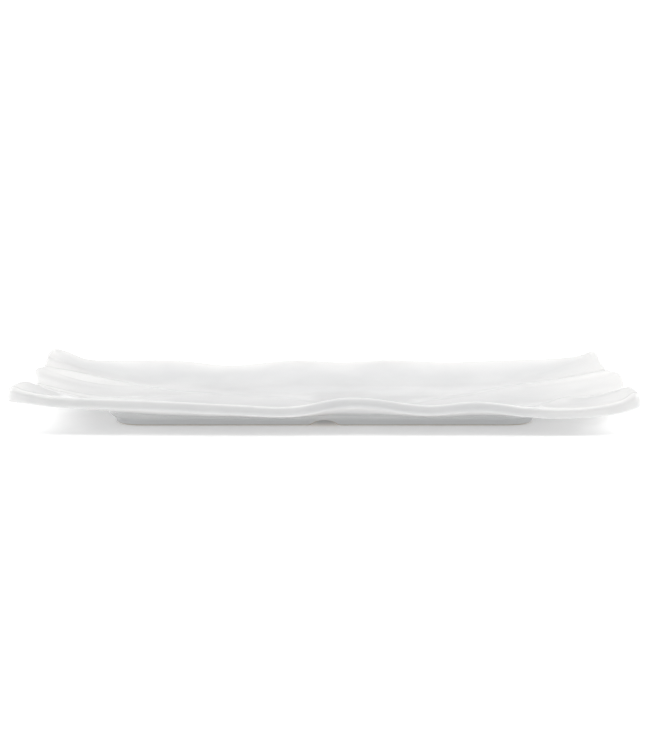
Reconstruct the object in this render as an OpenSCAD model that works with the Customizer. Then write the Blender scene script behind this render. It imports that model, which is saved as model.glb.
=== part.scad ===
// A long, low serving platter of glazed china.
// Its rolled rim rises and falls like the hem of a cloth, each end has three concave flutes
// with two pleats between them, and it stands on a rectangular foot ring.
// Front is -Y, the ends are at -X and +X, and the foot rests on Z = 0.

/* [Dish] */
// Nominal length over the front corners
dish_l = 406; // [320:1:460]
// Depth over the two long rims
dish_d = 190; // [160:1:230]
// Height of the well's upper face above the table
well_z = 10.5; // [9.5:0.5:14]
// Thickness of the china in the well
wall_t = 5; // [4.5:0.1:6]
// Thickness of the rolled rim
rim_t = 6.8; // [5.5:0.1:8]
// Roundness of the rim's edge, where 1 is a half circle and less is squarer
rim_round = 0.6; // [0.4:0.05:1]
// Width of the sloping wall along each long side
side_w = 58; // [40:1:70]
// Length of the slope that rises to each end
end_l = 118; // [80:1:140]
// Radius of the corners in plan
corner_r = 16; // [8:1:24]
// Extra thickness of the rim on each side of its middle layer at a corner
corner_swell = 1.7; // [0:0.1:2.5]

/* [Pleats] */
// Height of a pleat at the end of the dish
pleat_h = 4.8; // [1:0.1:6]
// Radius of a pleat's crest
pleat_tip = 2.5; // [2:0.5:6]
// How far a pleat's flank spreads into the flutes beside it
pleat_spread = 10; // [6:1:20]
// Depth of the notch that a pleat leaves in the end's outline
notch_depth = 6; // [0:0.5:9]
// How far a rim pulls inward for each millimetre that it rises
rim_sway = 0.4; // [0:0.1:0.8]

/* [Foot] */
// Length of the foot ring at its top
foot_l = 278; // [220:1:290]
// Depth of the foot ring at its top
foot_d = 114; // [90:1:120]
// Height of the foot ring
foot_h = 5.5; // [5:0.5:8]
// Width of the foot's wall where it meets the dish
foot_w = 9; // [7:0.5:12]
// Corner radius of the foot's centre line
foot_r = 14; // [10:1:20]
// Width of each drain notch at the table
drain_w = 19; // [10:1:30]
// Height of each drain notch
drain_h = 3.6; // [1:0.1:4]

/* [Glaze] */
// Thickness of the fired glaze
glaze_t = 0.4; // [0.3:0.1:0.8]
// Height of the band at the foot's contact edge that has no glaze
bare_h = 0.9; // [0.5:0.1:2]

/* [Hidden] */
$fn = 64;

// Rim heights above the table at shares of the half length, from the left end to the right.
front_rim = [[-1, 29.5], [-0.95, 28], [-0.88, 25.6], [-0.8, 24.4], [-0.55, 22.5], [-0.3, 20.2], [-0.11, 19],
    [0.09, 24.3], [0.33, 19.8], [0.5, 22], [0.72, 17.4], [0.87, 19.3], [0.95, 22.2], [1, 25.5]];
back_rim = [[-1, 29.8], [-0.95, 28.3], [-0.87, 23.4], [-0.78, 22.2], [-0.54, 22.2], [-0.34, 18.4], [-0.1, 22.4],
    [0.06, 20.8], [0.24, 22.6], [0.43, 20.9], [0.66, 22.4], [0.83, 23.6], [0.93, 25.2], [1, 28]];
// Heights of the end edges between their pleats at shares of the half depth, front to back.
left_rim = [[-1, 29.5], [-0.82, 31], [-0.65, 30], [-0.49, 25.5], [-0.33, 19.5], [0, 23.8], [0.25, 24.2],
    [0.33, 22.1], [0.6, 27.7], [0.8, 28.2], [1, 29.8]];
right_rim = [[-1, 25.5], [-0.82, 26.8], [-0.65, 26.4], [-0.5, 22], [-0.33, 14.1], [0, 18.7], [0.22, 21.2],
    [0.33, 19.7], [0.6, 24.8], [0.8, 26.7], [1, 28]];
// How far the end edges reach past the nominal length, front to back.
left_reach = [[-1, 4.9], [-0.82, -0.7], [-0.65, -4.3], [-0.49, -4.7], [-0.33, -3.3], [-0.2, -6.4],
    [0, -6.3], [0.25, -0.4], [0.33, 0], [0.45, -4.9], [0.6, -5.9], [0.8, -4.4], [1, -2.9]];
right_reach = [[-1, 4.7], [-0.82, 1.4], [-0.65, -0.3], [-0.5, 0.5], [-0.33, 1.9], [-0.2, 0.5], [0, 1.9],
    [0.12, 3.3], [0.25, 4.1], [0.33, 1.5], [0.45, -3.7], [0.6, -5.7], [0.8, -6.3], [1, -3.6]];
// Where each pleat meets its end, as a share of the half depth.
pleat_v = 0.33;
// Each pleat is [its path, its strength], both at shares of the half length.
// It leaves a notch and sweeps across the well towards a wave of the front rim.
pleats = [
    [[[-1, -0.33], [-0.75, -0.34], [-0.64, -0.26], [-0.5, -0.02], [-0.35, 0.08]],
     [[-1, 1], [-0.8, 0.75], [-0.6, 0.4], [-0.35, 0]]],
    [[[-1, 0.33], [-0.85, 0.42], [-0.7, 0.38], [-0.5, 0.13], [-0.25, -0.06], [-0.05, -0.3], [0.09, -1]],
     [[-1, 1], [-0.8, 0.7], [-0.5, 0.3], [-0.1, 0.25], [0.09, 0]]],
    [[[0.12, -1], [0.2, -0.7], [0.33, -0.33], [0.5, 0], [0.65, 0.3], [0.8, 0.36], [1, 0.33]],
     [[0.12, 0], [0.3, 0.25], [0.5, 0.35], [0.8, 0.7], [1, 1]]],
    [[[0.64, -1], [0.74, -0.7], [0.82, -0.46], [0.9, -0.36], [1, -0.33]],
     [[0.64, 0], [0.76, 0.6], [0.9, 0.8], [1, 1]]]
];

// The sheet of china is worked out at its middle layer, between these half sizes.
half_l = (dish_l - rim_t) / 2;
half_d = (dish_d - rim_t) / 2;
floor_z = well_z - wall_t / 2;
side_start = 1 - side_w / half_d;
end_start = 1 - end_l / half_l;
side_curl = 2.4;
end_curl = 2.5;
end_play = 50;
rim_mean = 22;
corner_pull = corner_r * (1 - sqrt(0.5));
corner_turn = 0.45;
corner_ease = 6;
notch_spread = 7;
notch_tip = 2.5;

// The flat pad under the dish, where the foot stands, and the slope round it.
pad_ledge = 2;
pad_slope = 4;
flat_x = foot_l / 2 + pad_ledge;
flat_y = foot_d / 2 + pad_ledge;

// Steps of the grid over the pad and from its slope to the edge, and steps round the rim's nose.
inner_steps = [12, 8];
outer_steps = [10, 7];
nose_steps = 4;
step = 3;

function clamp(t) = min(1, max(0, t));
function smooth(t) = clamp(t) * clamp(t) * (3 - 2 * clamp(t));
function mix(a, b, t) = a * (1 - t) + b * t;
function cusp(d, tip, spread) = exp(-(sqrt(d * d + tip * tip) - tip) / spread);
function unit(p) = p / norm(p);
function squared(t) = sign(t) * pow(abs(t), rim_round);

// A smooth curve through [place, value] points, level with its end points outside them.
function slope(pts, i) =
    let (a = pts[max(0, i - 1)], b = pts[min(len(pts) - 1, i + 1)])
    (b[1] - a[1]) / (b[0] - a[0]);
function span(pts, x, i = 0) = i >= len(pts) - 2 || x < pts[i + 1][0] ? i : span(pts, x, i + 1);
function curve(pts, x) =
    let (q = min(pts[len(pts) - 1][0], max(pts[0][0], x)), i = span(pts, q))
    let (a = pts[i], b = pts[i + 1], w = b[0] - a[0], t = (q - a[0]) / w)
    (1 + 2 * t) * (1 - t) * (1 - t) * a[1] + t * (1 - t) * (1 - t) * w * slope(pts, i)
    + t * t * (3 - 2 * t) * b[1] - t * t * (1 - t) * w * slope(pts, i + 1);

// How far a rim of a given height lifts the middle layer above the well.
function lift(rim_z) = rim_z - rim_t / 2 - floor_z;
function side_share(v) = pow(clamp((abs(v) - side_start) / (1 - side_start)), side_curl);
function end_share(u) = pow(clamp((abs(u) - end_start) / (1 - end_start)), end_curl);
function side_rim(u, v) = curve(v < 0 ? front_rim : back_rim, u);
function end_rim(u, v) = curve(u < 0 ? left_rim : right_rim, v);

// The rise of the sheet: the long sides, plus the ends, less what their corners share.
function bowl(u, v) =
    let (s = side_share(v), e = end_share(u))
    s * lift(side_rim(u, v)) + e * lift(end_rim(u, v)) - s * e * lift(side_rim(sign(u), v));

function pleat(p, u, v) =
    let (path = p[0], first = path[0][0], last = path[len(path) - 1][0])
    u < first || u > last ? 0 :
    let (run = (curve(path, u + 0.01) - curve(path, u - 0.01)) * half_d / (0.02 * half_l))
    let (away = (v - curve(path, u)) * half_d / sqrt(1 + run * run))
    pleat_h * curve(p[1], u) * cusp(away, pleat_tip, pleat_spread);
function pleats_at(u, v) =
    pleat(pleats[0], u, v) + pleat(pleats[1], u, v) + pleat(pleats[2], u, v) + pleat(pleats[3], u, v);

function notch(v) =
    notch_depth * (cusp((v - pleat_v) * half_d, notch_tip, notch_spread)
    + cusp((v + pleat_v) * half_d, notch_tip, notch_spread));
function corner_share(u, v) =
    pow(abs(u), corner_turn * half_l / corner_pull) * pow(abs(v), corner_turn * half_d / corner_pull);

// The middle layer of the china over the flat place x, y.
function middle(x, y) =
    let (u = x / half_l, v = y / half_d)
    let (reach = curve(u < 0 ? left_reach : right_reach, v) - notch(v))
    let (pull = corner_pull * corner_share(u, v))
    let (out = smooth((abs(x) - half_l + end_play) / end_play) * reach - pull)
    let (sway = rim_sway * (side_rim(u, v) - rim_mean) * (1 - end_share(u)) * side_share(v))
    [x + sign(x) * out, y - sign(y) * (pull + sway), floor_z + bowl(u, v) + pleats_at(u, v)];

function half_t(u, v) =
    mix(wall_t, rim_t, pow(max(side_share(v), end_share(u)), 1.5)) / 2 + corner_swell * corner_share(u, v);
function normal(px, py) =
    let (inward = corner_ease * corner_share(px / half_l, py / half_d))
    let (x = px - sign(px) * inward, y = py - sign(py) * inward)
    let (e = middle(min(half_l, x + step), y) - middle(max(-half_l, x - step), y))
    let (n = middle(x, min(half_d, y + step)) - middle(x, max(-half_d, y - step)))
    unit(cross(e, n));

// Grid stations, with one line of the grid at the pad's edge and one at the foot of its slope.
function station(i, inner, outer, flat_edge, edge) =
    let (k = abs(i) - inner, foot = flat_edge + pad_slope)
    sign(i) * (k <= 0 ? flat_edge * abs(i) / inner : foot + (edge - foot) * (k - 1) / (outer - 1));
nx = inner_steps[0] + outer_steps[0];
ny = inner_steps[1] + outer_steps[1];
xs = [for (i = [-nx:nx]) station(i, inner_steps[0], outer_steps[0], flat_x, half_l)];
ys = [for (j = [-ny:ny]) station(j, inner_steps[1], outer_steps[1], flat_y, half_d)];
cols = len(ys);
sheet = [for (x = xs, y = ys) [middle(x, y), normal(x, y), half_t(x / half_l, y / half_d), x, y]];

// Share of a place on the underside that belongs to the flat field.
function flatness(x, y) = 1 - smooth(norm([max(0, abs(x) - flat_x), max(0, abs(y) - flat_y)]) / pad_slope);
function at(i, j) = i * cols + j;

// The loop of grid places round the edge, anticlockwise from above.
edge_loop = concat(
    [for (i = [0:2 * nx - 1]) at(i, 0)],
    [for (j = [0:2 * ny - 1]) at(2 * nx, j)],
    [for (i = [2 * nx:-1:1]) at(i, 2 * ny)],
    [for (j = [2 * ny:-1:1]) at(0, j)]);
loop_n = len(edge_loop);

// Points of the china's skin, drawn in by inset: upper face, lower face, then the rim's nose.
function upper(inset) = [for (s = sheet) s[0] + s[1] * (s[2] - inset)];
function lower(inset, base) =
    [for (s = sheet) mix(s[0] - s[1] * (s[2] - inset), [s[3], s[4], base], flatness(s[3], s[4]))];
function nose(inset) =
    [for (k = [1:nose_steps - 1], b = [0:loop_n - 1])
        let (s = sheet[edge_loop[b]], angle = 180 * k / nose_steps)
        let (ahead = sheet[edge_loop[(b + 1) % loop_n]], behind = sheet[edge_loop[(b + loop_n - 1) % loop_n]])
        let (out = unit(cross(ahead[0] - behind[0], s[1])))
        s[0] + (s[1] * squared(cos(angle)) + out * squared(sin(angle))) * (s[2] - inset)];
function skin(inset, base) = concat(upper(inset), lower(inset, base), nose(inset));

sheet_n = len(sheet);
skin_n = 2 * sheet_n + (nose_steps - 1) * loop_n;
function nose_at(k, b) =
    let (c = b % loop_n)
    k == 0 ? edge_loop[c] : k == nose_steps ? sheet_n + edge_loop[c] : 2 * sheet_n + (k - 1) * loop_n + c;

// Faces, clockwise from outside.
function under_flat(i, j) =
    abs(i + 0.5 - nx) < inner_steps[0] && abs(j + 0.5 - ny) < inner_steps[1];
function upper_faces() =
    [for (i = [0:2 * nx - 1], j = [0:2 * ny - 1], half = [0, 1])
        half == 0 ? [at(i, j), at(i, j + 1), at(i + 1, j + 1)] : [at(i, j), at(i + 1, j + 1), at(i + 1, j)]];
function lower_faces(open) =
    [for (i = [0:2 * nx - 1], j = [0:2 * ny - 1], half = [0, 1])
        if (!open || !under_flat(i, j))
            [for (p = half == 0 ? [at(i, j), at(i + 1, j), at(i + 1, j + 1)]
                : [at(i, j), at(i + 1, j + 1), at(i, j + 1)]) p + sheet_n]];
function nose_faces() =
    [for (k = [0:nose_steps - 1], b = [0:loop_n - 1], half = [0, 1])
        half == 0 ? [nose_at(k, b), nose_at(k, b + 1), nose_at(k + 1, b + 1)]
            : [nose_at(k, b), nose_at(k + 1, b + 1), nose_at(k + 1, b)]];
function skin_faces(open) = concat(upper_faces(), lower_faces(open), nose_faces());
function inside_out(faces, first) = [for (f = faces) [f[2] + first, f[1] + first, f[0] + first]];

// The wall of the coat's opening, round the flat field, from the coat's outer face to its inner one.
i0 = outer_steps[0];
i1 = 2 * nx - outer_steps[0];
j0 = outer_steps[1];
j1 = 2 * ny - outer_steps[1];
opening = concat(
    [for (i = [i0:i1 - 1]) at(i, j0)],
    [for (j = [j0:j1 - 1]) at(i1, j)],
    [for (i = [i1:-1:i0 + 1]) at(i, j1)],
    [for (j = [j1:-1:j0 + 1]) at(i0, j)]);
function opening_faces() =
    [for (b = [0:len(opening) - 1], half = [0, 1])
        let (p = sheet_n + opening[b], q = sheet_n + opening[(b + 1) % len(opening)])
        half == 0 ? [p, q, q + skin_n] : [p, q + skin_n, p + skin_n]];

// The glazed outline's middle, which the origin stands under.
outline = nose(0);
outline_x = [for (p = outline) p[0]];
outline_y = [for (p = outline) p[1]];
offset_x = (max(outline_x) + min(outline_x)) / 2;
offset_y = (max(outline_y) + min(outline_y)) / 2;
module centred() {
    translate([-offset_x, -offset_y, 0]) children();
}

// Section of the foot's wall: distance out from its centre line, and height.
toe_out = 1;
toe_in = -2.4;
toe_round = 2.4;
heel_round = 1;
wall_arc = [0:15:90];
outer_wall = concat([[foot_w / 2, foot_h]],
    [for (a = wall_arc) [toe_out + toe_round * cos(a), toe_round * (1 - sin(a))]]);
inner_wall = concat([for (a = wall_arc) [toe_in - heel_round * sin(a), heel_round * (1 - cos(a))]],
    [[-foot_w / 2, foot_h]]);
function glazed(wall) = [for (p = wall) if (p[1] >= bare_h) p];
function band(wall, out) = concat(wall, [for (k = [len(wall) - 1:-1:0]) wall[k] + [out, 0]]);
run_x = foot_l / 2 - foot_w / 2 - foot_r;
run_y = foot_d / 2 - foot_w / 2 - foot_r;

// A section carried round the foot's rounded rectangle.
module round_foot(section) {
    for (sx = [0, 1], sy = [0, 1])
        mirror([sx, 0, 0]) mirror([0, sy, 0])
            translate([run_x, run_y, 0]) rotate_extrude(angle = 90) translate([foot_r, 0]) polygon(section);
    for (side = [0, 1]) {
        mirror([side, 0, 0]) translate([run_x + foot_r, run_y, 0])
            rotate([90, 0, 0]) linear_extrude(2 * run_y) polygon(section);
        mirror([0, side, 0]) translate([-run_x, run_y + foot_r, 0])
            rotate([90, 0, 90]) linear_extrude(2 * run_x) polygon(section);
    }
}

module rounded_plate(width, depth, radius) {
    square([width, depth - 2 * radius], center = true);
    square([width - 2 * radius, depth], center = true);
    for (sx = [-1, 1], sy = [-1, 1])
        translate([sx * (width / 2 - radius), sy * (depth / 2 - radius)]) circle(radius);
}

// The drain notch: a shallow arch cut through both long walls of the foot.
drain_r = (drain_w * drain_w / 4 + drain_h * drain_h) / (2 * drain_h);
module drain() {
    translate([0, 0, drain_h - drain_r]) rotate([90, 0, 0])
        cylinder(h = 2 * foot_d, r = drain_r, center = true);
}

// Fired clay of the well, walls and rim.
module dish_body() {
    color("#efece6") centred()
        polyhedron(points = skin(glaze_t, foot_h), faces = skin_faces(false), convexity = 6);
}

// Clay foot with a bare contact edge and a drain notch in each long wall.
module foot_ring() {
    color("#e9e4da") centred() difference() {
        round_foot(concat(outer_wall, inner_wall));
        drain();
    }
}

// Glaze over the well and walls, round the rim and under it as far as the flat field.
module outer_glaze() {
    color("#fafaf8") centred()
        polyhedron(
            points = concat(skin(0, foot_h - glaze_t), skin(glaze_t, foot_h)),
            faces = concat(skin_faces(true), inside_out(skin_faces(true), skin_n), opening_faces()),
            convexity = 8);
}

// Glaze on the ledge round the foot and on the foot's outer wall.
module foot_glaze() {
    color("#f6f6f3") centred() difference() {
        union() {
            round_foot(band(glazed(outer_wall), glaze_t));
            translate([0, 0, foot_h - glaze_t]) linear_extrude(glaze_t) difference() {
                square([2 * flat_x, 2 * flat_y], center = true);
                rounded_plate(foot_l, foot_d, foot_r + foot_w / 2);
            }
        }
        drain();
    }
}

// Glaze on the panel inside the foot and on the foot's inner wall.
module base_glaze() {
    color("#f6f6f3") centred() difference() {
        union() {
            round_foot(band(glazed(inner_wall), -glaze_t));
            translate([0, 0, foot_h - glaze_t]) linear_extrude(glaze_t)
                rounded_plate(foot_l - 2 * foot_w, foot_d - 2 * foot_w, foot_r - foot_w / 2);
        }
        drain();
    }
}

dish_body();
foot_ring();
outer_glaze();
foot_glaze();
base_glaze();
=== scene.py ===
"""Looks of the china serving platter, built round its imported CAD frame. Metres, Z up, front at -Y."""
import math

import bpy
import numpy as np
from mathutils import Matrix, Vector


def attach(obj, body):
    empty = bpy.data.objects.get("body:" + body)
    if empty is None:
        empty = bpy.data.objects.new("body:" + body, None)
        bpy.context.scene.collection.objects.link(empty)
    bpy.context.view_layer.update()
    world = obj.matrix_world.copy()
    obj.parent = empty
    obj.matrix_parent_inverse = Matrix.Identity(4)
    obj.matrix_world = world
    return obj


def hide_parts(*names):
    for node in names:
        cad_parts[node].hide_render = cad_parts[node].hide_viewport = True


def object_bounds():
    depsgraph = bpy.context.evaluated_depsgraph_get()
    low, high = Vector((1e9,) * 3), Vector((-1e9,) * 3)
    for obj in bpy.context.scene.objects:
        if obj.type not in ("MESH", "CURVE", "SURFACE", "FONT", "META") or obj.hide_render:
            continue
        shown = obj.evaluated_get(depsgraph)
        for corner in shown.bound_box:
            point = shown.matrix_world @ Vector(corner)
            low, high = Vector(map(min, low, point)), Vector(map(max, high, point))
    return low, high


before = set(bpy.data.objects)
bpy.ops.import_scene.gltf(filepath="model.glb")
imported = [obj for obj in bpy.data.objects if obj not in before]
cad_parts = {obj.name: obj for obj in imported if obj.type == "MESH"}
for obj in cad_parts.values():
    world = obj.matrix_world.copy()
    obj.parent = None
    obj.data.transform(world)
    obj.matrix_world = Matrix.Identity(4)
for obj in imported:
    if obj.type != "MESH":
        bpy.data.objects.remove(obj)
cad_low, cad_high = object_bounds()

MM = 0.001

# ---------------------------------------------------------------- dimensions, in millimetres
DISH_L = 406.0  # nominal length over the front corners
DISH_D = 190.0  # depth over the two long rims
WELL_Z = 10.5  # height of the well's upper face above the table
WALL_T = 5.0  # thickness of the china in the well
RIM_T = 6.8  # thickness of the rolled rim
RIM_SWELL = 1.5  # how the sheet thickens towards its rim, as a power
RIM_ROUND = 0.6  # roundness of the rim's edge, where 1 is a half circle and less is squarer
RIM_SWAY = 0.4  # how far a rim pulls inward for each millimetre that it rises
RIM_MEAN = 22.0  # height at which a rim keeps its nominal place

SIDE_W = 58.0  # width of the sloping wall along each long side
SIDE_CURL = 2.4  # how the long sides steepen, as a power
END_L = 118.0  # length of the slope that rises to each end
END_CURL = 2.5  # how the ends steepen, as a power
END_PLAY = 50.0  # length of each end that follows its outline

CORNER_R = 16.0  # radius of the corners in plan
CORNER_TURN = 0.45  # how closely that rounding keeps to the corner
CORNER_EASE = 6.0  # how far inward the sheet's direction is taken at a corner
CORNER_SWELL = 1.7  # extra thickness on each side of the middle layer at a corner

PLEAT_H = 4.8  # height of a pleat at the end of the dish
PLEAT_TIP = 2.5  # radius of a pleat's crest
PLEAT_SPREAD = 10.0  # how far a pleat's flank spreads into the flutes beside it
PLEAT_V = 0.33  # where each pleat meets its end, as a share of the half depth
NOTCH_DEPTH = 6.0  # depth of the notch that a pleat leaves in the end's outline
NOTCH_TIP = 2.5  # radius of that notch's bottom
NOTCH_SPREAD = 7.0  # how far that notch spreads

FOOT_L = 278.0  # length of the foot ring at its top
FOOT_D = 114.0  # depth of the foot ring at its top
FOOT_H = 5.5  # height of the foot ring
FOOT_W = 9.0  # width of the foot's wall where it meets the dish
FOOT_R = 14.0  # corner radius of the foot's centre line
TOE_OUT = 1.0  # outer end of the toe's flat, outward from the centre line
TOE_IN = -2.4  # inner end of the toe's flat
TOE_ROUND = 2.4  # radius of the toe's outer rounding
HEEL_ROUND = 1.0  # radius of its inner rounding
DRAIN_W = 19.0  # width of each drain notch at the table
DRAIN_H = 3.6  # height of each drain notch
PAD_LEDGE = 2.0  # flat ledge round the foot
PAD_SLOPE = 4.0  # slope round that ledge

GLAZE_T = 0.4  # thickness of the fired glaze
BARE_H = 0.9  # height of the foot's band that has no glaze
FOOT_FILLET = 1.2  # radius of the glaze between the foot and the dish, outside
BASE_FILLET = 2.2  # the same inside
LIP = [(0.8, 0.22), (0.1, 0.3)]  # the glaze's lower lip: shares of its thickness, and drops below its edge
COAT_KEY = 0.5  # how deep the hidden back of the foot's glaze lies in the clay
PANEL_SINK = 0.12  # how far the panel's glaze lies below the dish's flat underside
PANEL_RINGS = [0.96, 0.85, 0.7, 0.5, 0.3, 0.1]  # rings of the panel's mesh, as shares of its outline
FIT_GAP = 0.01  # room that the dish leaves inside the CAD box

# Rim heights above the table at shares of the half length, from the left end to the right.
FRONT_RIM = [(-1, 29.5), (-0.95, 28), (-0.88, 25.6), (-0.8, 24.4), (-0.55, 22.5), (-0.3, 20.2), (-0.11, 19),
             (0.09, 24.3), (0.33, 19.8), (0.5, 22), (0.72, 17.4), (0.87, 19.3), (0.95, 22.2), (1, 25.5)]
BACK_RIM = [(-1, 29.8), (-0.95, 28.3), (-0.87, 23.4), (-0.78, 22.2), (-0.54, 22.2), (-0.34, 18.4),
            (-0.1, 22.4), (0.06, 20.8), (0.24, 22.6), (0.43, 20.9), (0.66, 22.4), (0.83, 23.6), (0.93, 25.2),
            (1, 28)]
# Heights of the end edges between their pleats at shares of the half depth, front to back.
LEFT_RIM = [(-1, 29.5), (-0.82, 31), (-0.65, 30), (-0.49, 25.5), (-0.33, 19.5), (0, 23.8), (0.25, 24.2),
            (0.33, 22.1), (0.6, 27.7), (0.8, 28.2), (1, 29.8)]
RIGHT_RIM = [(-1, 25.5), (-0.82, 26.8), (-0.65, 26.4), (-0.5, 22), (-0.33, 14.1), (0, 18.7), (0.22, 21.2),
             (0.33, 19.7), (0.6, 24.8), (0.8, 26.7), (1, 28)]
# How far the end edges reach past the nominal length, front to back.
LEFT_REACH = [(-1, 4.9), (-0.82, -0.7), (-0.65, -4.3), (-0.49, -4.7), (-0.33, -3.3), (-0.2, -6.4),
              (0, -6.3), (0.25, -0.4), (0.33, 0), (0.45, -4.9), (0.6, -5.9), (0.8, -4.4), (1, -2.9)]
RIGHT_REACH = [(-1, 4.7), (-0.82, 1.4), (-0.65, -0.3), (-0.5, 0.5), (-0.33, 1.9), (-0.2, 0.5), (0, 1.9),
               (0.12, 3.3), (0.25, 4.1), (0.33, 1.5), (0.45, -3.7), (0.6, -5.7), (0.8, -6.3), (1, -3.6)]
# Each pleat is (its path, its strength), both at shares of the half length.
PLEATS = [
    ([(-1, -0.33), (-0.75, -0.34), (-0.64, -0.26), (-0.5, -0.02), (-0.35, 0.08)],
     [(-1, 1), (-0.8, 0.75), (-0.6, 0.4), (-0.35, 0)]),
    ([(-1, 0.33), (-0.85, 0.42), (-0.7, 0.38), (-0.5, 0.13), (-0.25, -0.06), (-0.05, -0.3), (0.09, -1)],
     [(-1, 1), (-0.8, 0.7), (-0.5, 0.3), (-0.1, 0.25), (0.09, 0)]),
    ([(0.12, -1), (0.2, -0.7), (0.33, -0.33), (0.5, 0), (0.65, 0.3), (0.8, 0.36), (1, 0.33)],
     [(0.12, 0), (0.3, 0.25), (0.5, 0.35), (0.8, 0.7), (1, 1)]),
    ([(0.64, -1), (0.74, -0.7), (0.82, -0.46), (0.9, -0.36), (1, -0.33)],
     [(0.64, 0), (0.76, 0.6), (0.9, 0.8), (1, 1)]),
]

HALF_L = (DISH_L - RIM_T) / 2
HALF_D = (DISH_D - RIM_T) / 2
FLOOR_Z = WELL_Z - WALL_T / 2
SIDE_START = 1 - SIDE_W / HALF_D
END_START = 1 - END_L / HALF_L
CORNER_PULL = CORNER_R * (1 - math.sqrt(0.5))
FLAT_X = FOOT_L / 2 + PAD_LEDGE
FLAT_Y = FOOT_D / 2 + PAD_LEDGE
PAD_R = FOOT_R + FOOT_W / 2 + PAD_LEDGE

# Steps of the sheet's grid: over the middle, over the pad's corner, down its slope, out to the edge.
STEPS_X = (36, 20, 5, 42)
STEPS_Y = (16, 20, 5, 26)
NORMAL_STEP = 3.0  # distance each way over which the sheet's direction is measured
SLOPE_STEP = 0.01  # the same for a pleat's path, as a share of the half length
NOSE_STEPS = 20  # steps of the roll round the rim
NOSE_TURNS = [math.pi * k / NOSE_STEPS for k in range(1, NOSE_STEPS)]
QUARTER = np.radians(np.arange(0, 91, 15))  # the turns of a quarter round on the foot
FOOT_CORNER_POINTS = 15
FOOT_SIDE_POINTS = 12
FOOT_FRONT_POINTS = 120  # enough for the arch of the drain notch

# How quickly the glaze changes with the rise of the walls, as powers.
THIN_AND_LIT_CREST = 5  # thin glaze with painted light, which keeps to the rims and pleats
KNIFE_EDGE = 0.5  # knife marks, which keep to the well
POOL_AND_SHADE_EDGE = 1.5  # pooled glaze and painted shade in the well

# How strongly the glaze is darkened by pooling and by painted shade.
WELL_POOL_AND_SHADE = 0.7  # in the well, partly pooled glaze and partly painted shade
WALL_SHADE = 2.0  # painted shade half-way up the long walls
RIM_SHADE = 0.6  # painted shade on the faces and lower half of the long rims, less towards the ends
UNDER_SHADE = 0.6  # painted shade under the dish


# ---------------------------------------------------------------- the sheet of china, as in the CAD
def smooth(t):
    t = np.clip(t, 0, 1)
    return t * t * (3 - 2 * t)


def unit(a):
    return a / np.linalg.norm(a, axis=-1, keepdims=True)


def cusp(d, tip, spread):
    """A ridge's share of its height at a distance from its line: round at the tip, then falling away."""
    return np.exp(-(np.sqrt(d * d + tip * tip) - tip) / spread)


def curve(points, x):
    """A smooth curve through (place, value) points, level outside them."""
    at, value = np.array(points, float).T
    x = np.clip(x, at[0], at[-1])
    tilt = np.empty(len(at))
    tilt[1:-1] = (value[2:] - value[:-2]) / (at[2:] - at[:-2])
    tilt[0] = (value[1] - value[0]) / (at[1] - at[0])
    tilt[-1] = (value[-1] - value[-2]) / (at[-1] - at[-2])
    i = np.clip(np.searchsorted(at, x, side="right") - 1, 0, len(at) - 2)
    w = at[i + 1] - at[i]
    t = (x - at[i]) / w
    return ((1 + 2 * t) * (1 - t) ** 2 * value[i] + t * (1 - t) ** 2 * w * tilt[i]
            + t * t * (3 - 2 * t) * value[i + 1] - t * t * (1 - t) * w * tilt[i + 1])


def side_share(v):
    return np.clip((abs(v) - SIDE_START) / (1 - SIDE_START), 0, 1) ** SIDE_CURL


def end_share(u):
    return np.clip((abs(u) - END_START) / (1 - END_START), 0, 1) ** END_CURL


def corner_share(u, v):
    return abs(u) ** (CORNER_TURN * HALF_L / CORNER_PULL) * abs(v) ** (CORNER_TURN * HALF_D / CORNER_PULL)


def side_rim(u, v):
    return np.where(v < 0, curve(FRONT_RIM, u), curve(BACK_RIM, u))


def end_rim(u, v):
    return np.where(u < 0, curve(LEFT_RIM, v), curve(RIGHT_RIM, v))


def bowl(u, v):
    """The rise of the sheet: the long sides, plus the ends, less what their corners share."""
    base = RIM_T / 2 + FLOOR_Z
    s, e = side_share(v), end_share(u)
    return (s * (side_rim(u, v) - base) + e * (end_rim(u, v) - base)
            - s * e * (side_rim(np.sign(u), v) - base))


def pleat(path, strength, u, v):
    """The height of one pleat, which falls with the distance from its path."""
    drift = curve(path, u + SLOPE_STEP) - curve(path, u - SLOPE_STEP)
    run = drift * HALF_D / (2 * SLOPE_STEP * HALF_L)
    away = (v - curve(path, u)) * HALF_D / np.sqrt(1 + run * run)
    inside = (u >= path[0][0]) & (u <= path[-1][0])
    return np.where(inside, PLEAT_H * curve(strength, u) * cusp(away, PLEAT_TIP, PLEAT_SPREAD), 0)


def pleats(u, v):
    return sum(pleat(path, strength, u, v) for path, strength in PLEATS)


def middle(x, y):
    """The middle layer of the china over the flat place x, y."""
    u, v = x / HALF_L, y / HALF_D
    notch = NOTCH_DEPTH * sum(cusp((v + s * PLEAT_V) * HALF_D, NOTCH_TIP, NOTCH_SPREAD) for s in (-1, 1))
    reach = np.where(u < 0, curve(LEFT_REACH, v), curve(RIGHT_REACH, v)) - notch
    corner = CORNER_PULL * corner_share(u, v)
    out = smooth((abs(x) - HALF_L + END_PLAY) / END_PLAY) * reach - corner
    sway = RIM_SWAY * (side_rim(u, v) - RIM_MEAN) * (1 - end_share(u)) * side_share(v)
    z = FLOOR_Z + bowl(u, v) + pleats(u, v)
    return np.stack([x + np.sign(x) * out, y - np.sign(y) * (corner + sway), z], -1)


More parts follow.
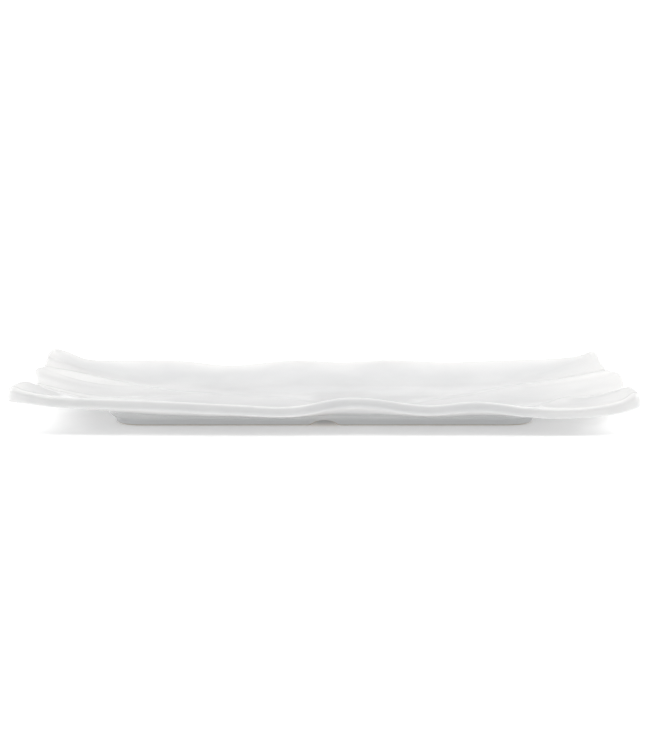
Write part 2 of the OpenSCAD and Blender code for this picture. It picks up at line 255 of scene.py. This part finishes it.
def normals(x, y):
    """The sheet's upward direction, taken a little inward at the corners, where it turns most steeply."""
    inward = CORNER_EASE * corner_share(x / HALF_L, y / HALF_D)
    x, y = x - np.sign(x) * inward, y - np.sign(y) * inward
    east = middle(np.minimum(HALF_L, x + NORMAL_STEP), y) - middle(np.maximum(-HALF_L, x - NORMAL_STEP), y)
    north = middle(x, np.minimum(HALF_D, y + NORMAL_STEP)) - middle(x, np.maximum(-HALF_D, y - NORMAL_STEP))
    return unit(np.cross(east, north))


def half_thickness(u, v):
    rise = np.maximum(side_share(v), end_share(u))
    return (WALL_T + (RIM_T - WALL_T) * rise ** RIM_SWELL) / 2 + CORNER_SWELL * corner_share(u, v)


def pad_share(x, y):
    """1 over the flat pad that carries the foot, falling to 0 down the slope round it."""
    beyond_x = np.maximum(0, abs(x) - FLAT_X + PAD_R)
    beyond_y = np.maximum(0, abs(y) - FLAT_Y + PAD_R)
    return 1 - smooth((np.hypot(beyond_x, beyond_y) - PAD_R) / PAD_SLOPE)


# ---------------------------------------------------------------- the glazed dish
def stations(steps, flat_edge, edge):
    """Grid lines from one edge to the other, with the same steps on both sides of the middle."""
    stops = (0, flat_edge - PAD_R, flat_edge, flat_edge + PAD_SLOPE, edge)
    half = [np.linspace(a, b, n + 1)[1:] for n, a, b in zip(steps, stops, stops[1:])]
    half = np.concatenate([[0]] + half)
    return np.concatenate([-half[:0:-1], half])


def strips(rows):
    """Quads between neighbouring closed rows of vertex numbers."""
    return [np.stack([a, b, np.roll(b, -1), np.roll(a, -1)], -1) for a, b in zip(rows, rows[1:])]


def nose_rings(core, up, half):
    """The squarish roll round the rim, ring by ring from its upper edge to its lower one."""
    out = unit(np.cross(np.roll(core, -1, 0) - np.roll(core, 1, 0), up))
    rings = []
    for turn in NOSE_TURNS:
        rise = math.copysign(abs(math.cos(turn)) ** RIM_ROUND, math.cos(turn))
        reach = math.sin(turn) ** RIM_ROUND
        rings.append(core + (up * rise + out * reach) * half[:, None])
    return rings


def glaze_marks(u, v, loop):
    """Shares for the glaze at every vertex: thin glaze with painted light on crests and the top of the rim,
    cut by knives in the well, pooled glaze with painted shade in the well, and painted shade on the long
    walls, the rims' faces and under the dish.
    """
    sides, ends = side_share(v), end_share(u)
    rise = np.maximum(sides, ends)
    # painted light: rims, lobes and pleat crests made lighter, partly as thin glaze
    crest = np.clip(rise ** THIN_AND_LIT_CREST + pleats(u, v) / PLEAT_H, 0, 1)
    well = 1 - rise ** KNIFE_EDGE
    # painted shade: the well's middle, partly as pooled glaze, and the long walls half-way up are darkened
    pool_and_shade = WELL_POOL_AND_SHADE * well ** POOL_AND_SHADE_EDGE + WALL_SHADE * sides * (1 - sides) * (1 - ends)
    # painted shade on the faces of the long rims, strongest in the middle of the long sides
    rim_shade = RIM_SHADE * (1 - ends[loop]) ** 2
    ring = np.ones(len(loop))
    nose_shade = [math.sin(turn) ** 2 if turn < math.pi / 2 else 1 for turn in NOSE_TURNS]
    layers = {
        # painted highlight along the top of the rim, fading down its face
        "crest": [crest, crest] + [ring * max(0, math.cos(turn)) for turn in NOSE_TURNS],
        "well": [well, 0 * well] + [0 * ring for turn in NOSE_TURNS],
        # painted shade under the dish and on the face and lower half of the rim
        "pool_and_shade": [pool_and_shade, 0 * pool_and_shade + UNDER_SHADE] + [rim_shade * share for share in nose_shade],
    }
    return {name: np.concatenate(layer) for name, layer in layers.items()}


def dish_geometry():
    """Vertices in millimetres, marks for the glaze and quads of the whole glazed dish."""
    xs = stations(STEPS_X, FLAT_X, HALF_L)
    ys = stations(STEPS_Y, FLAT_Y, HALF_D)
    x, y = (a.ravel() for a in np.meshgrid(xs, ys, indexing="ij"))
    u, v = x / HALF_L, y / HALF_D
    core, up, half = middle(x, y), normals(x, y), half_thickness(u, v)
    flat = pad_share(x, y)[:, None]
    pad = np.stack([x, y, np.full_like(x, FOOT_H - GLAZE_T)], -1)
    upper = core + up * half[:, None]
    lower = (core - up * half[:, None]) * (1 - flat) + pad * flat

    n = len(x)
    at = np.arange(n).reshape(len(xs), len(ys))
    loop = np.concatenate([at[:-1, 0], at[-1, :-1], at[:0:-1, -1], at[0, :0:-1]])
    rings = nose_rings(core[loop], up[loop], half[loop])
    cells = np.stack([at[:-1, :-1], at[1:, :-1], at[1:, 1:], at[:-1, 1:]], -1).reshape(-1, 4)
    rows = [2 * n + k * len(loop) + np.arange(len(loop)) for k in range(len(rings))]
    around = strips([loop] + rows + [n + loop])
    quads = np.concatenate([cells, n + cells[:, ::-1]] + around)
    return np.concatenate([upper, lower] + rings), glaze_marks(u, v, loop), quads


def fit_to_cad(verts):
    """Scale about the table's middle that keeps this finer dish inside the CAD box."""
    span = verts.max(0) - verts.min(0)
    span[2] = verts[:, 2].max()
    room = (np.array(cad_high) - cad_low) / MM
    return np.minimum(1, room / (span + FIT_GAP))


# ---------------------------------------------------------------- the foot and its glaze
def foot_line():
    """The foot wall's centre line, anticlockwise from above, with its outward directions."""
    run_x, run_y = FOOT_L / 2 - FOOT_W / 2 - FOOT_R, FOOT_D / 2 - FOOT_W / 2 - FOOT_R
    corners = [(run_x, -run_y, -90), (run_x, run_y, 0), (-run_x, run_y, 90), (-run_x, -run_y, 180)]
    at, out = [], []
    for k, (cx, cy, start) in enumerate(corners):
        turn = np.radians(np.linspace(start, start + 90, FOOT_CORNER_POINTS))
        way = np.stack([np.cos(turn), np.sin(turn)], -1)
        at.append(np.array([cx, cy]) + FOOT_R * way)
        out.append(way)
        begin = at[-1][-1]
        end = np.array(corners[(k + 1) % 4][:2]) + FOOT_R * way[-1]
        points = FOOT_SIDE_POINTS if k % 2 == 0 else FOOT_FRONT_POINTS
        share = np.linspace(0, 1, points)[1:-1, None]
        at.append(begin + (end - begin) * share)
        out.append(np.repeat(way[-1:], len(share), 0))
    return np.concatenate(at), np.concatenate(out)


def arch(x):
    """Height of the drain notch over a place along a long side of the foot."""
    radius = (DRAIN_W ** 2 / 4 + DRAIN_H ** 2) / (2 * DRAIN_H)
    height = DRAIN_H - radius + np.sqrt(np.maximum(0, radius ** 2 - x * x))
    return np.where(abs(x) < DRAIN_W / 2, height, 0)


def sweep_foot(section, closed):
    """A section of (distance out, height) points carried round the foot and over its drain notches."""
    at, out = foot_line()
    lift = np.where(abs(at[:, 1]) > FOOT_D / 2 - FOOT_W, arch(at[:, 0]), 0)
    verts = [np.column_stack([at + out * away, z + lift * max(0, 1 - z / FOOT_H)]) for away, z in section]
    rows = [k * len(at) + np.arange(len(at)) for k in range(len(section))]
    return np.concatenate(verts), np.concatenate(strips(rows + rows[:1] if closed else rows))


def wall_section():
    """The foot wall's section: its outer points, going down, and its inner points, going up."""
    outer = [(FOOT_W / 2, FOOT_H)]
    outer += [(TOE_OUT + TOE_ROUND * math.cos(a), TOE_ROUND * (1 - math.sin(a))) for a in QUARTER]
    inner = [(TOE_IN - HEEL_ROUND * math.sin(a), HEEL_ROUND * (1 - math.cos(a))) for a in QUARTER]
    inner += [(-FOOT_W / 2, FOOT_H)]
    return outer, inner


def coat_section(wall, side, fillet):
    """Glaze down one wall: a concave fillet under the dish, the wall, a rounded lip and a hidden back."""
    drip = [p for p in wall if p[1] >= BARE_H][::side]
    top, (low, low_z) = drip[0][0], drip[-1]
    heel_out, heel_z = top + side * (GLAZE_T + fillet), FOOT_H - GLAZE_T - fillet
    heel = [(heel_out - side * fillet * math.sin(a), heel_z + fillet * math.cos(a)) for a in QUARTER]
    face = [(out + side * GLAZE_T, z) for out, z in drip[1:]]
    lip = [(low + side * GLAZE_T * share, low_z - drop) for share, drop in LIP]
    back = [(low - side * COAT_KEY, low_z), (top - side * COAT_KEY, FOOT_H)]
    return heel + face + lip + back


def base_geometry(wall):
    """The coat on the foot's inner wall, the panel's rings inside it, and the middle ring to be capped."""
    panel_z = FOOT_H - GLAZE_T - PANEL_SINK
    verts, quads = sweep_foot(coat_section(wall, -1, BASE_FILLET)[:-1], False)
    verts[:, 2] = np.minimum(verts[:, 2], panel_z)
    ring = np.arange(len(foot_line()[0]))
    outline = verts[ring, :2]
    panel = [np.column_stack([outline * share, np.full(len(ring), panel_z)]) for share in PANEL_RINGS]
    rows = [ring] + [len(verts) + k * len(ring) + ring for k in range(len(PANEL_RINGS))]
    quads = np.concatenate([quads[:, ::-1]] + strips(rows))
    return np.concatenate([verts] + panel), quads, rows[-1][::-1]


def mesh_object(name, verts, quads, material, marks=None, cap=()):
    """An object of quads, with one more face where a cap's vertex numbers are given."""
    mesh = bpy.data.meshes.new(name)
    loops = np.append(quads, cap).astype(np.int32)
    starts = np.arange(0, quads.size, 4)
    if len(cap):
        starts = np.append(starts, quads.size)
    mesh.vertices.add(len(verts))
    mesh.vertices.foreach_set("co", np.asarray(verts, np.float32).ravel() * MM)
    mesh.loops.add(len(loops))
    mesh.loops.foreach_set("vertex_index", loops)
    mesh.polygons.add(len(starts))
    mesh.polygons.foreach_set("loop_start", starts.astype(np.int32))
    for key, values in (marks or {}).items():
        mesh.attributes.new(key, "FLOAT", "POINT").data.foreach_set("value", np.asarray(values, np.float32))
    mesh.update(calc_edges=True)
    mesh.validate()
    mesh.polygons.foreach_set("use_smooth", np.ones(len(mesh.polygons), bool))
    mesh.materials.append(material)
    obj = bpy.data.objects.new(name, mesh)
    bpy.context.scene.collection.objects.link(obj)
    return obj


# ---------------------------------------------------------------- materials
SPOT_CORE = 0.6  # the share of a spot's radius that is solid, before it fades out
IRON_BROWN = (0.33, 0.29, 0.24, 1)
CLAY_PALE = (0.70, 0.675, 0.625, 1)
CLAY_DARK = (0.61, 0.58, 0.53, 1)
CLAY_TOAST = (0.56, 0.44, 0.31, 1)
CLAY_IRON = (0.30, 0.22, 0.15, 1)
SCUFF_GREY = (0.40, 0.39, 0.37, 1)


def principled(name, **sockets):
    mat = bpy.data.materials.new(name)
    mat.use_nodes = True
    shader = mat.node_tree.nodes["Principled BSDF"]
    for key, value in sockets.items():
        shader.inputs[key.replace("_", " ")].default_value = value
    return mat, shader


def add(tree, kind, sockets=None, **settings):
    """A new shader node, with each socket linked or set, and each setting set."""
    node = tree.nodes.new("ShaderNode" + kind)
    for key, value in settings.items():
        setattr(node, key, value)
    for key, value in (sockets or {}).items():
        if isinstance(value, bpy.types.NodeSocket):
            tree.links.new(value, node.inputs[key])
        else:
            node.inputs[key].default_value = value
    return node


def noise(tree, where, scale, detail=2.0, roughness=0.5):
    sockets = {"Vector": where, "Scale": scale, "Detail": detail, "Roughness": roughness}
    return add(tree, "TexNoise", sockets).outputs["Fac"]


def remap(tree, value, low, high, to_low=0.0, to_high=1.0):
    sockets = {"Value": value, "From Min": low, "From Max": high, "To Min": to_low, "To Max": to_high}
    return add(tree, "MapRange", sockets).outputs["Result"]


def maths(tree, operation, a, b):
    return add(tree, "Math", {0: a, 1: b}, operation=operation).outputs[0]


def tint(tree, share, a, b):
    """A share of colour b over colour a, which are the Mix node's sockets 7 and 6."""
    return add(tree, "Mix", {0: share, 6: a, 7: b}, data_type="RGBA").outputs[2]


def mark(tree, name):
    return add(tree, "Attribute", attribute_name=name).outputs["Fac"]


def spots(tree, where, scale, radius, rarity):
    """Sparse round spots: a radius in metres, in a random share of cells."""
    cells = add(tree, "TexVoronoi", {"Vector": where, "Scale": scale})
    draw = add(tree, "SeparateColor", {0: cells.outputs["Color"]}).outputs[0]
    chosen = maths(tree, "GREATER_THAN", draw, rarity)
    disc = remap(tree, cells.outputs["Distance"], radius * scale * SPOT_CORE, radius * scale, 1.0, 0.0)
    return maths(tree, "MULTIPLY", disc, chosen)


def scratches(tree, where, angle, stretch):
    """Fine straight marks that all run one way, from the highest crests of a stretched noise."""
    turned = add(tree, "Mapping", {"Vector": where, "Rotation": (0, 0, angle), "Scale": stretch})
    return remap(tree, noise(tree, turned.outputs[0], 1.0, 3.0, 0.6), 0.66, 0.72)


def bumped(tree, height, distance, after=None):
    sockets = {"Height": height, "Distance": distance, "Strength": 1.0}
    if after is not None:
        sockets["Normal"] = after
    return add(tree, "Bump", sockets).outputs["Normal"]


def glaze_material(name, body, thin_and_lit_colour, pooled_and_shaded, gloss, grit):
    """Clear glaze over white china: clouded, darker where glaze pools and where shade is painted, lighter
    where glaze is thin and light is painted on crests, with orange peel, specks and pinholes.
    """
    mat, shader = principled(name, Specular_IOR_Level=0.5)
    tree = mat.node_tree
    where = add(tree, "TexCoord").outputs["Object"]
    clouds = remap(tree, noise(tree, where, scale=24, detail=4.0), 0.36, 0.66, 0.0, 0.4)
    # the pooled colour also paints shade in the well, on the long walls, on the rims' faces and under the
    # dish
    colour = tint(tree, maths(tree, "ADD", clouds, mark(tree, "pool_and_shade")), body, pooled_and_shaded)
    patchy = remap(tree, noise(tree, where, scale=90), 0.3, 0.6, 0.5, 1.0)
    # thin glaze and painted light on crests and on the top of the rim
    colour = tint(tree, maths(tree, "MULTIPLY", mark(tree, "crest"), patchy), colour, thin_and_lit_colour)
    specks = spots(tree, where, scale=48, radius=0.00028, rarity=0.8)
    colour = tint(tree, maths(tree, "MULTIPLY", specks, 0.55), colour, IRON_BROWN)
    tree.links.new(colour, shader.inputs["Base Color"])

    knives = [scratches(tree, where, 0.35, (14, 2600, 1)), scratches(tree, where, -0.8, (11, 2200, 1))]
    worn = maths(tree, "MULTIPLY", maths(tree, "MAXIMUM", *knives), mark(tree, "well"))
    haze = remap(tree, noise(tree, where, scale=55, detail=3.0), 0.35, 0.7, gloss, gloss + 0.07)
    rough = maths(tree, "ADD", haze, maths(tree, "MULTIPLY", worn, 0.16))
    tree.links.new(rough, shader.inputs["Roughness"])

    waver = noise(tree, where, scale=34, detail=1.0)
    normal = bumped(tree, waver, distance=0.00045)
    orange_peel = noise(tree, where, scale=420, detail=1.0)
    normal = bumped(tree, orange_peel, distance=0.000012, after=normal)
    normal = bumped(tree, noise(tree, where, scale=1500), distance=grit, after=normal)
    pinholes = spots(tree, where, scale=130, radius=0.00022, rarity=0.9)
    normal = bumped(tree, maths(tree, "SUBTRACT", 1.0, pinholes), distance=0.00008, after=normal)
    tree.links.new(normal, shader.inputs["Normal"])
    return mat


def clay_material():
    """Bare fired clay, toasted where the glaze stops and scuffed grey where it touches the table."""
    mat, shader = principled("bare_clay", Specular_IOR_Level=0.3)
    tree = mat.node_tree
    where = add(tree, "TexCoord").outputs["Object"]
    height = add(tree, "SeparateXYZ", {0: where}).outputs["Z"]
    grain = noise(tree, where, scale=900, detail=4.0, roughness=0.7)
    colour = tint(tree, remap(tree, grain, 0.35, 0.65), CLAY_PALE, CLAY_DARK)
    patchy = remap(tree, noise(tree, where, scale=60), 0.3, 0.6, 0.4, 1.0)
    toast = maths(tree, "MULTIPLY", remap(tree, height, 0.0003, 0.001), patchy)
    colour = tint(tree, toast, colour, CLAY_TOAST)
    rubbed = remap(tree, noise(tree, where, scale=75, detail=5.0, roughness=0.65), 0.52, 0.66)
    scuff = maths(tree, "MULTIPLY", rubbed, remap(tree, height, 0.0001, 0.0004, 1.0, 0.0))
    colour = tint(tree, scuff, colour, SCUFF_GREY)
    iron = spots(tree, where, scale=210, radius=0.0003, rarity=0.7)
    colour = tint(tree, maths(tree, "MULTIPLY", iron, 0.7), colour, CLAY_IRON)
    tree.links.new(colour, shader.inputs["Base Color"])
    tree.links.new(remap(tree, grain, 0.3, 0.7, 0.62, 0.86), shader.inputs["Roughness"])
    tree.links.new(bumped(tree, grain, distance=0.00012), shader.inputs["Normal"])
    return mat


glaze_mat = glaze_material(
    "glaze", body=(0.87, 0.87, 0.865, 1), thin_and_lit_colour=(0.89, 0.885, 0.875, 1), pooled_and_shaded=(0.72, 0.725, 0.73, 1),
    gloss=0.07, grit=0.000001)
# painted shade: the foot's glaze is the dish's glaze made darker, for the foot's place in shade under the
# rim
shaded_foot_mat = glaze_material(
    "foot_glaze", body=(0.745, 0.755, 0.76, 1), thin_and_lit_colour=(0.78, 0.775, 0.76, 1), pooled_and_shaded=(0.71, 0.72, 0.73, 1),
    gloss=0.12, grit=0.000004)
base_mat = glaze_material(
    "base_glaze", body=(0.77, 0.775, 0.77, 1), thin_and_lit_colour=(0.79, 0.78, 0.76, 1), pooled_and_shaded=(0.745, 0.755, 0.755, 1),
    gloss=0.15, grit=0.000008)
clay_mat = clay_material()

# ---------------------------------------------------------------- pieces
verts, marks, quads = dish_geometry()
centre = (verts.max(0) + verts.min(0)) / 2 * np.array([1, 1, 0])
dish = mesh_object("glazed_dish", (verts - centre) * fit_to_cad(verts), quads, glaze_mat, marks)
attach(dish, "root")
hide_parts("dish_body", "outer_glaze")

outer_wall, inner_wall = wall_section()
verts, quads = sweep_foot(outer_wall + inner_wall, True)
foot = mesh_object("foot_clay", verts - centre, quads, clay_mat)
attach(foot, "root")
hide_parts("foot_ring")

verts, quads = sweep_foot(coat_section(outer_wall, 1, FOOT_FILLET), True)
coat = mesh_object("foot_glaze_coat", verts - centre, quads, shaded_foot_mat)
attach(coat, "root")
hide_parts("foot_glaze")

verts, quads, cap = base_geometry(inner_wall)
base = mesh_object("base_glaze_coat", verts - centre, quads, base_mat, cap=cap)
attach(base, "root")
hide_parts("base_glaze")

# ---------------------------------------------------------------- studio
scene = bpy.context.scene
CAMERA_UP = math.radians(8.5)
CAMERA_AWAY = 1.6565
CAMERA_LENS = 116.94
CAMERA_AIM = Vector((0, 0, 0.0256))
LIGHT_AIM = Vector((0, 0, 0.02))
FLOOR_SIZE = 60
FLOOR_PALE = (0.84, 0.84, 0.84, 1)
WHITE = (1, 1, 1, 1)
EXPOSURE = -0.05
# Each softbox is its name, its place, its width and height, and its watts.
SOFTBOXES = [
    ("softbox_left", (-1.35, 0.05, 1.05), (1.0, 1.0), 10.5),
    ("softbox_right", (1.35, 0.05, 1.05), (1.0, 1.0), 13.5),
    ("softbox_behind", (0, 1.2, 1.3), (1.6, 0.5), 1),
    ("strip_above", (0, -0.55, 1.55), (1.8, 0.35), 5.5),
]
# How strongly the surroundings glow along each axis, with a minus for its negative side.
SKY_GLOW = [("Z", 0.34), ("Y", 0.55), ("X", -0.6), ("X", 0.4)]

camera = bpy.data.objects.new("camera", bpy.data.cameras.new("camera"))
scene.collection.objects.link(camera)
scene.camera = camera
back = Vector((0, -math.cos(CAMERA_UP), math.sin(CAMERA_UP)))
camera.location = CAMERA_AIM + back * CAMERA_AWAY
camera.rotation_mode = "QUATERNION"
camera.rotation_quaternion = (-back).to_track_quat("-Z", "Y")
camera.data.sensor_width = 36
camera.data.lens = CAMERA_LENS


def floor_material():
    """A pale floor with painted light, a glow that grows with distance, and painted shade where that glow is
    cut in the dark space inside the foot.
    """
    mat, shader = principled("floor", Base_Color=FLOOR_PALE, Roughness=0.9)
    shader.inputs["Specular IOR Level"].default_value = 0
    shader.inputs["Emission Color"].default_value = WHITE
    tree = mat.node_tree
    where = add(tree, "TexCoord").outputs["Object"]
    distance = add(tree, "VectorMath", {0: where}, operation="LENGTH").outputs["Value"]
    # painted light: the floor glows, more with distance from the dish
    floor_glow = remap(tree, distance, 0.35, 1.5, 0.28, 0.75)
    # painted shade: the floor's glow is cut inside the foot
    shade_inside_foot = remap(tree, distance, 0.04, 0.055, 0.42, 1.0)
    tree.links.new(maths(tree, "MULTIPLY", floor_glow, shade_inside_foot), shader.inputs["Emission Strength"])
    return mat


bpy.ops.mesh.primitive_plane_add(size=FLOOR_SIZE)
floor = bpy.context.object
floor.name = "floor"
floor.data.materials.append(floor_material())

for name, place, size, watts in SOFTBOXES:
    light = bpy.data.lights.new(name, "AREA")
    light.shape = "RECTANGLE"
    light.size, light.size_y = size
    light.energy = watts
    lamp = bpy.data.objects.new(name, light)
    scene.collection.objects.link(lamp)
    lamp.location = place
    lamp.rotation_mode = "QUATERNION"
    lamp.rotation_quaternion = (LIGHT_AIM - Vector(place)).to_track_quat("-Z", "Y")

world = bpy.data.worlds.new("world")
scene.world = world
world.use_nodes = True
tree = world.node_tree
way = add(tree, "SeparateXYZ", {0: add(tree, "TexCoord").outputs["Generated"]})
glow = remap(tree, way.outputs["Z"], 0.035, 0.07, 1.0, 0.0)  # a white horizon where the floor ends
for axis, strength in SKY_GLOW:
    share = maths(tree, "MULTIPLY", way.outputs[axis], strength)
    glow = maths(tree, "ADD", glow, maths(tree, "MAXIMUM", share, 0.0))
sky = tree.nodes["Background"]
tree.links.new(glow, sky.inputs["Strength"])
sky.inputs["Color"].default_value = WHITE

scene.view_settings.view_transform = "Standard"
scene.view_settings.exposure = EXPOSURE
